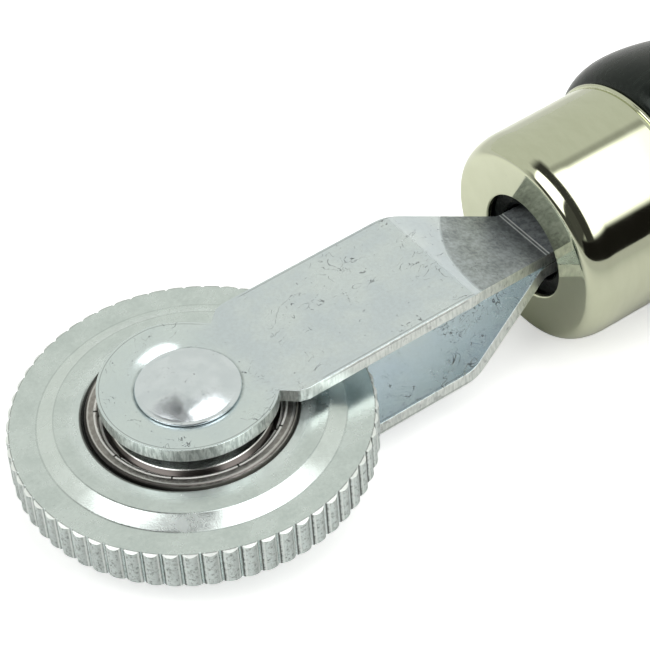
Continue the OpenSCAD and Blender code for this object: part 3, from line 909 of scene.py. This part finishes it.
def neck_side(t):
    """The neck's outline from the boss to the start of the arm, for t from 0 to 1."""
    boss_x = math.sqrt(BOSS_R ** 2 - NECK_HALF_W ** 2)
    shoulder_x, corner_cut = 9.5 * MM, 0.3 * MM
    corners = [
        Vector((boss_x, NECK_HALF_W)), Vector((shoulder_x - 1.0 * MM, ARM_HALF_W - corner_cut)),
        Vector((shoulder_x, ARM_HALF_W)), Vector((ARM_START, ARM_HALF_W)),
    ]
    where = t * 3
    i = min(int(where), 2)
    return corners[i].lerp(corners[i + 1], where - i)


def bridge(bm, last, row):
    """Faces between two rows of vertices."""
    for k in range(len(row) - 1):
        bm.faces.new((last[k], last[k + 1], row[k + 1], row[k]))


def boss_grid(bm, vertex, arm_angles):
    """The boss as rings about the rivet's hole. Returns the outer ring's vertices at the neck."""
    ring_count, free_count = 26, 160
    neck_angle = arm_angles[-1]
    free = [neck_angle + (TURN - 2 * neck_angle) * k / free_count for k in range(1, free_count)]
    rings = []
    for i in range(ring_count + 1):
        r = RIVET_HOLE_R + (BOSS_R - RIVET_HOLE_R) * (i / ring_count)
        rings.append([vertex(r * math.cos(a), r * math.sin(a)) for a in arm_angles + free])
    for inner, outer in zip(rings, rings[1:]):
        bridge(bm, inner + inner[:1], outer + outer[:1])
    return rings[-1][: len(arm_angles)]


def neck_rows(arm_angles):
    """Rows of points that blend the boss's arc into the straight start of the arm."""
    steps = 18
    arc = [Vector((BOSS_R * math.cos(a), BOSS_R * math.sin(a))) for a in arm_angles]
    ends = [Vector(point) for point in row_across(ARM_START, ARM_HALF_W)]
    for i in range(1, steps + 1):
        t = i / steps
        top = neck_side(t)
        bottom = Vector((top.x, -top.y))
        row = []
        for k in range(ACROSS + 1):
            s = k / ACROSS
            blend = arc[k].lerp(ends[k], t) + bottom.lerp(top, s)
            corner = arc[0].lerp(arc[-1], s).lerp(ends[0].lerp(ends[-1], s), t)
            row.append(blend - corner)
        yield row


def row_across(x, half_width):
    """Evenly spaced points across the sheet at x."""
    return [(x, -half_width + 2 * half_width * k / ACROSS) for k in range(ACROSS + 1)]


def arm_rows():
    """Rows of points along the arm, the bend and the tang."""
    stations = 240
    for i in range(1, stations + 1):
        x = ARM_START + (TANG_END - ARM_START) * i / stations
        yield row_across(x, arm_half_width(x))


def thickened(name, face):
    """The sheet made solid from its outer face, its edges rounded."""
    sheet = face.modifiers.new("sheet", "SOLIDIFY")
    sheet.thickness = SHEET
    sheet.offset = -1
    sheet.use_even_offset = True
    sheet.material_offset_rim = 1
    cheek = applied(name, face, EDGE_DEGREES)
    edge = cheek.modifiers.new("edge", "BEVEL")
    edge.width = 0.24 * MM
    edge.segments = 4
    edge.limit_method = "ANGLE"
    edge.angle_limit = math.radians(EDGE_DEGREES)
    weighted_normals(cheek)
    return cheek


def build_cheek(name, material, edge_material, node, flip):
    """The cheek as one sheet: the boss's rings, then rows along the neck, arm and tang."""
    neck_angle = math.asin(NECK_HALF_W / BOSS_R)
    arm_angles = [-neck_angle + 2 * neck_angle * k / ACROSS for k in range(ACROSS + 1)]
    bm = bmesh.new()

    def vertex(x, y):
        z = cheek_height(x, y)
        return bm.verts.new((x, -y if flip else y, -z if flip else z))

    last = boss_grid(bm, vertex, arm_angles)
    for rows in neck_rows(arm_angles), arm_rows():
        for points in rows:
            row = [vertex(*point) for point in points]
            bridge(bm, last, row)
            last = row

    face = new_piece(name + "_face", bm, 60)
    if (face.data.polygons[0].normal.z < 0) != flip:
        face.data.flip_normals()
    for slot in (material, edge_material):
        face.data.materials.append(slot)
    return finish_piece(thickened(name, face), (), "fork", node)


# Handle ----------------------------------------------------------------------------------

FERRULE_R = 12.3 * MM
FERRULE_WALL = 0.9 * MM
FERRULE_HOLE_R = 6.15 * MM
EDGE_IN = 1.65 * MM
EDGE_BACK = 3.6 * MM


def oval(centre, half_axes, start, end, steps):
    """Points (radius, x) on an ellipse; angles run from the radius toward the front."""
    angles = (start + (end - start) * k / steps for k in range(steps + 1))
    return [
        Vector((centre[0] + half_axes[0] * math.cos(a), centre[1] - half_axes[1] * math.sin(a)))
        for a in angles
    ]


def build_ferrule(material):
    """A drawn cup: oval front edge, round hole in the front, rolled lip at the back."""
    lip = 0.32 * MM
    front, back = FERRULE_FRONT, FERRULE_BACK
    centre = (FERRULE_R - EDGE_IN, front + EDGE_BACK)
    outside = oval(centre, (EDGE_IN, EDGE_BACK), math.pi / 2, 0, 28)
    inside = oval(centre, (EDGE_IN - FERRULE_WALL, EDGE_BACK - FERRULE_WALL), 0, math.pi / 2, 14)
    rolled = [
        Vector((FERRULE_R - 0.05 * MM + lip * math.sin(a), back - lip - lip * math.cos(a)))
        for a in (math.pi * k / 12 for k in range(13))
    ]
    hole_edge = [
        Vector((FERRULE_HOLE_R, front + 0.2 * MM)),
        Vector((FERRULE_HOLE_R + 0.06 * MM, front + 0.06 * MM)),
        Vector((FERRULE_HOLE_R + 0.2 * MM, front)),
    ]
    root = back - 2 * lip
    outline = hole_edge + outside
    outline += [Vector((FERRULE_R, root - 0.5 * MM)), Vector((FERRULE_R, root - 0.3 * MM))]
    outline += rolled + [Vector((FERRULE_R - FERRULE_WALL, back))] + inside
    outline += [Vector((FERRULE_HOLE_R, front + FERRULE_WALL))]
    ferrule = lathe("ferrule_looks", outline, axis="X", steps=256, sharp_degrees=50)
    weighted_normals(ferrule)
    return finish_piece(ferrule, [material], "fork", "ferrule")


def handle_radius(x):
    """Radius of the turned handle behind the ferrule: bead, waist, palm swell and butt."""
    start = FERRULE_BACK
    length = HANDLE_END - start
    foot_r, bead_r, waist_r, butt_r = 12.1 * MM, 14.1 * MM, 11.5 * MM, 7.0 * MM
    bead_x, waist_x, swell_x = start + 4.2 * MM, start + 0.22 * length, start + 0.68 * length
    if x <= bead_x:
        back = (bead_x - x) / (bead_x - start)
        return foot_r + (bead_r - foot_r) * math.sqrt(max(0.0, 1 - back * back))
    if x <= waist_x:
        t = (x - bead_x) / (waist_x - bead_x)
        return bead_r + (waist_r - bead_r) * (1 - math.cos(math.pi * t)) / 2
    if x <= swell_x:
        t = (x - waist_x) / (swell_x - waist_x)
        return waist_r + (SWELL_R - waist_r) * (1 - math.cos(math.pi * t)) / 2
    t = (x - swell_x) / (HANDLE_END - swell_x)
    return butt_r + (SWELL_R - butt_r) * math.sqrt(max(0.0, 1 - t * t))


def build_handle(material):
    """The turned handle: a neck inside the ferrule, with a socket for the tangs, then the grip."""
    socket, depth = 4.5 * MM, TANG_END + 0.5 * MM
    butt_flat = 6.0 * MM
    neck = FERRULE_R - FERRULE_WALL - 0.02 * MM
    edge_in = EDGE_IN - FERRULE_WALL
    edge_back = FERRULE_FRONT + EDGE_BACK - HANDLE_FRONT
    outline = [
        Vector((0, depth)), Vector((socket, depth)), Vector((socket, HANDLE_FRONT + 0.4 * MM)),
        Vector((socket + 0.4 * MM, HANDLE_FRONT)),
    ]
    centre = (neck - edge_in, HANDLE_FRONT + edge_back)
    outline += oval(centre, (edge_in, edge_back), math.pi / 2, 0, 10)
    outline += [Vector((neck, FERRULE_BACK))]
    steps = 150
    for k in range(steps + 1):
        x = FERRULE_BACK + (HANDLE_END - FERRULE_BACK) * (1 - math.cos(math.pi * k / steps)) / 2
        outline.append(Vector((handle_radius(x), x)))
    outline += [Vector((butt_flat, HANDLE_END)), Vector((0, HANDLE_END))]
    handle = lathe("handle_looks", outline, axis="X", steps=256, sharp_degrees=50)
    return finish_piece(handle, [material], "fork", "handle")


# Studio ----------------------------------------------------------------------------------

def build_floor(handle):
    """A pale floor that the roller rests on: under the rivet's tail and the palm swell."""
    touch = Vector((0, 0, RIVET_LOW))
    slope = min((v.co.z - touch.z) / v.co.x for v in handle.data.vertices if v.co.x > FERRULE_BACK)
    size, cells = 3.0, 24
    bm = bmesh.new()
    bmesh.ops.create_grid(bm, x_segments=cells, y_segments=cells, size=size)
    tilt = Matrix.Translation(touch) @ Matrix.Rotation(-math.atan(slope), 4, "Y")
    bmesh.ops.transform(bm, matrix=tilt, verts=bm.verts)
    mesh = bpy.data.meshes.new("floor")
    bm.to_mesh(mesh)
    bm.free()
    floor = bpy.data.objects.new("floor", mesh)
    bpy.context.scene.collection.objects.link(floor)
    material = bpy.data.materials.new("floor_paper")
    material.use_nodes = True
    g = Graph(material.node_tree)
    place = g.node("ShaderNodeTexCoord").outputs["Object"]
    fibre = g.noise(place, 1.5 * MM, 4, 0.6)
    camera_ray = g.node("ShaderNodeLightPath").outputs["Is Camera Ray"]
    across = g.xyz(place)[1]
    close = g.step(g.math("ABSOLUTE", across), 20 * MM, 110 * MM, 1.0, 0.0)
    behind = g.step(across, -10 * MM, 25 * MM, 1.0, 1.25)
    # painted light, seen only in reflections: the floor reads brighter close to the tool and brighter
    # still behind it
    mirrored_tone = g.times(g.math("ADD", g.times(close, 0.27), 0.57), behind)
    seen_tone = g.step(fibre, 0.2, 0.8, 0.90, 0.93)
    reflected = g.times(g.inverse(camera_ray), mirrored_tone)
    tone = g.math("ADD", g.times(camera_ray, seen_tone), reflected)
    tint = g.node("ShaderNodeCombineXYZ", {0: tone, 1: tone, 2: tone}).outputs[0]
    paper = g.node("ShaderNodeBsdfDiffuse", {"Color": tint})
    glow = g.times(camera_ray, 0.50)
    lift = g.node("ShaderNodeEmission", {"Color": grey(1.0), "Strength": glow})
    both = g.node("ShaderNodeAddShader", {0: paper.outputs[0], 1: lift.outputs[0]})
    g.node("ShaderNodeOutputMaterial", {0: both.outputs[0]})
    mesh.materials.append(material)


def build_world():
    """A studio as a sky: two overhead softboxes and pale walls, with dark gaps between them.

    Each region is cut out by the direction that a ray leaves in.
    """
    world = bpy.data.worlds.new("studio")
    bpy.context.scene.world = world
    world.use_nodes = True
    g = Graph(world.node_tree)
    direction = g.node("ShaderNodeTexCoord").outputs["Generated"]
    x, y, z = g.xyz(direction)

    main_x, main_y = g.between(x, 0.06, 0.48, 0.05), g.step(y, 0.05, 0.19, 1.0, 0.0)
    main_box = g.times(main_x, main_y, g.step(z, 0.36, 0.50))
    left_x, left_y = g.between(x, -0.88, -0.33, 0.05), g.between(y, -0.28, 0.34, 0.07)
    left_box = g.times(left_x, left_y, g.step(z, 0.46, 0.56))
    above = g.step(z, 0.02, 0.20)
    gap = g.times(g.between(x, -0.27, 0.0, 0.05), g.step(y, 0.40, 0.60, 1.0, 0.0), above)
    far_gap = g.times(g.between(x, -0.30, 0.02, 0.12), g.between(y, 0.26, 0.44, 0.10), above)
    low_gap = g.times(g.between(x, -0.70, -0.28, 0.06), g.between(y, -0.80, -0.24, 0.08), above)
    left_wall = g.times(g.step(x, -0.72, -0.60, 1.0, 0.0), g.step(y, 0.30, 0.60, 1.0, 0.0), above)
    near = g.times(g.step(y, -0.80, -0.60, 1.0, 0.0), g.step(z, 0.34, 0.46, 1.0, 0.0))
    seam = g.times(g.between(y, 0.16, 0.22, 0.10), g.between(x, 0.1, 0.5, 0.1))
    shade = near
    for patch, strength in (gap, 0.95), (far_gap, 0.75), (low_gap, 0.9), (left_wall, 0.92), (seam, 0.4):
        shade = g.most(shade, g.times(patch, strength))
    wall = g.mix(shade, rgb(0.72, 0.735, 0.68), rgb(0.012, 0.011, 0.010))
    lit = g.mix(g.most(main_box, left_box), wall, rgb(2.8, 2.8, 2.75))
    camera_ray = g.node("ShaderNodeLightPath").outputs["Is Camera Ray"]
    seen = g.mix(camera_ray, lit, grey(1.0))
    sky = g.node("ShaderNodeBackground", {"Color": seen, "Strength": 1.0})
    g.node("ShaderNodeOutputWorld", {0: sky.outputs[0]})


def build_camera():
    """A long lens, looking down along the tool from in front and to its side."""
    azimuth, elevation, roll = math.radians(-32.6), math.radians(44.77), math.radians(-4.66)
    aim, distance, lens = Vector((15.76, -2.02, 6.85)) * MM, 286.6 * MM, 154.0
    level = math.cos(elevation)
    back = Vector((math.sin(azimuth) * level, -math.cos(azimuth) * level, math.sin(elevation)))
    data = bpy.data.cameras.new("camera")
    data.lens = lens
    data.sensor_width = 36.0
    data.clip_start = 0.01
    data.clip_end = 10.0
    camera = bpy.data.objects.new("camera", data)
    camera.rotation_mode = "QUATERNION"
    camera.location = aim + back * distance
    turn = (-back).to_track_quat("-Z", "Y").to_matrix() @ Matrix.Rotation(roll, 3, "Z")
    camera.rotation_quaternion = turn.to_quaternion()
    bpy.context.scene.collection.objects.link(camera)
    bpy.context.scene.camera = camera


def build_all():
    """Every piece, then the floor, the sky and the camera."""
    sheet, cut = zinc_sheet(), sheared_edge()
    race = race_steel()
    pressed = ground_steel("pressed_steel", (0.45, 0.43, 0.41), 0.20, 0.5 * MM)
    plain = ground_steel("plain_steel", (0.62, 0.62, 0.62), 0.28, 0.3 * MM)
    polished = ground_steel("polished_steel", (0.85, 0.85, 0.86), 0.05, 0.4 * MM)
    build_wheel(turned_zinc())
    build_outer_ring(race)
    build_inner_ring(race)
    build_shield(shield_steel())
    build_rivet(rivet_zinc())
    tube("axle_bush_looks", BUSH_R, RIVET_HOLE_R, -BEARING_Z, BEARING_Z, plain, "axle_bush")
    for side, low, high in ("upper", BEARING_Z, CHEEK_IN_Z), ("lower", -CHEEK_IN_Z, -BEARING_Z):
        washer = "spacer_washer_" + side
        tube(washer + "_looks", WASHER_R, RIVET_HOLE_R, low, high, plain, washer)
    build_cheek("fork_cheek_upper_looks", sheet, cut, "fork_cheek_upper", False)
    build_cheek("fork_cheek_lower_looks", sheet, cut, "fork_cheek_lower", True)
    build_ferrule(nickel_plate())
    handle = build_handle(black_lacquer())
    inside = {"bearing_ball": polished, "cage_rivets": polished, "cage_": pressed}
    for name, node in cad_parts.items():
        for start, material in inside.items():
            if name.startswith(start):
                node.data.materials.clear()
                node.data.materials.append(material)
                break
    build_floor(handle)
    build_world()
    build_camera()


build_all()
bpy.context.scene.view_settings.view_transform = "Standard"
